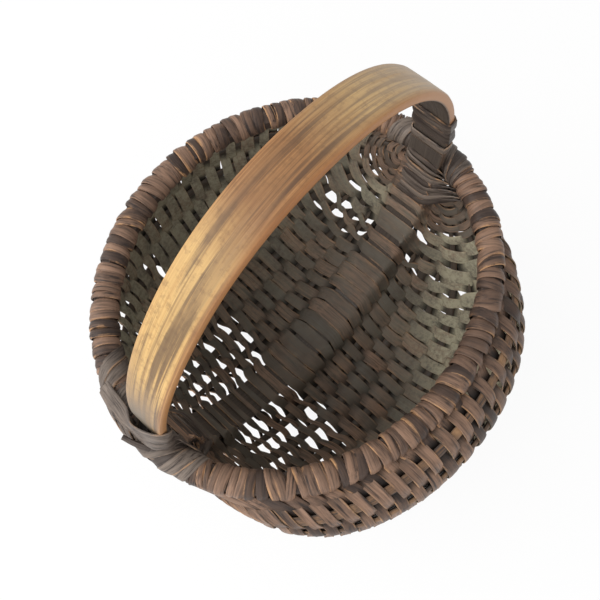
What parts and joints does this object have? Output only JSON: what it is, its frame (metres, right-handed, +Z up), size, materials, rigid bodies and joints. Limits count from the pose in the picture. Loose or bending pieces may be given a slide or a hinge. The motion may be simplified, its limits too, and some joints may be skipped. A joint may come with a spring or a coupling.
{
  "type": "buttocks basket",
  "caption": "Small lobed basket of woven wood splints over an oval rim hoop and slender ribs, with an upright hoop that forms a flat arched handle and the spine.",
  "frame": {"origin": "on the surface that the basket stands on, under the middle of its bounding box", "axes": "+Z up; X from ear to ear, along the spine; Y from cheek to cheek"},
  "size_m": [0.2254, 0.244, 0.2537],
  "materials": {
    "handle_wood": "worn honey-brown bent wood with a satin patina",
    "rim_wood": "dark aged wood",
    "rib_wood": "dark reddish-brown split wood",
    "splint_wood": "dark brown aged splint, dusty inside",
    "lashing_wood": "grey-brown weathered splint"
  },
  "bodies": {
    "root": {"rim_hoop": "rim_wood", "handle_hoop": "handle_wood", "rib_near_01": "rib_wood", "rib_near_02": "rib_wood", "rib_near_03": "rib_wood", "rib_near_04": "rib_wood", "rib_near_05": "rib_wood", "rib_near_06": "rib_wood", "rib_near_07": "rib_wood", "rib_near_08": "rib_wood", "rib_near_09": "rib_wood", "rib_near_10": "rib_wood", "rib_far_01": "rib_wood", "rib_far_02": "rib_wood", "rib_far_03": "rib_wood", "rib_far_04": "rib_wood", "rib_far_05": "rib_wood", "rib_far_06": "rib_wood", "rib_far_07": "rib_wood", "rib_far_08": "rib_wood", "rib_far_09": "rib_wood", "rib_far_10": "rib_wood", "weaver_01": "splint_wood", "weaver_02": "splint_wood", "weaver_03": "splint_wood", "weaver_04": "splint_wood", "weaver_05": "splint_wood", "weaver_06": "splint_wood", "weaver_07": "splint_wood", "weaver_08": "splint_wood", "weaver_09": "splint_wood", "weaver_10": "splint_wood", "weaver_11": "splint_wood", "weaver_12": "splint_wood", "weaver_13": "splint_wood", "ear_a_band_near": "lashing_wood", "ear_a_band_far": "lashing_wood", "ear_a_strap": "lashing_wood", "ear_b_band_near": "lashing_wood", "ear_b_band_far": "lashing_wood", "ear_b_strap": "lashing_wood"}
  },
  "joints": []
}
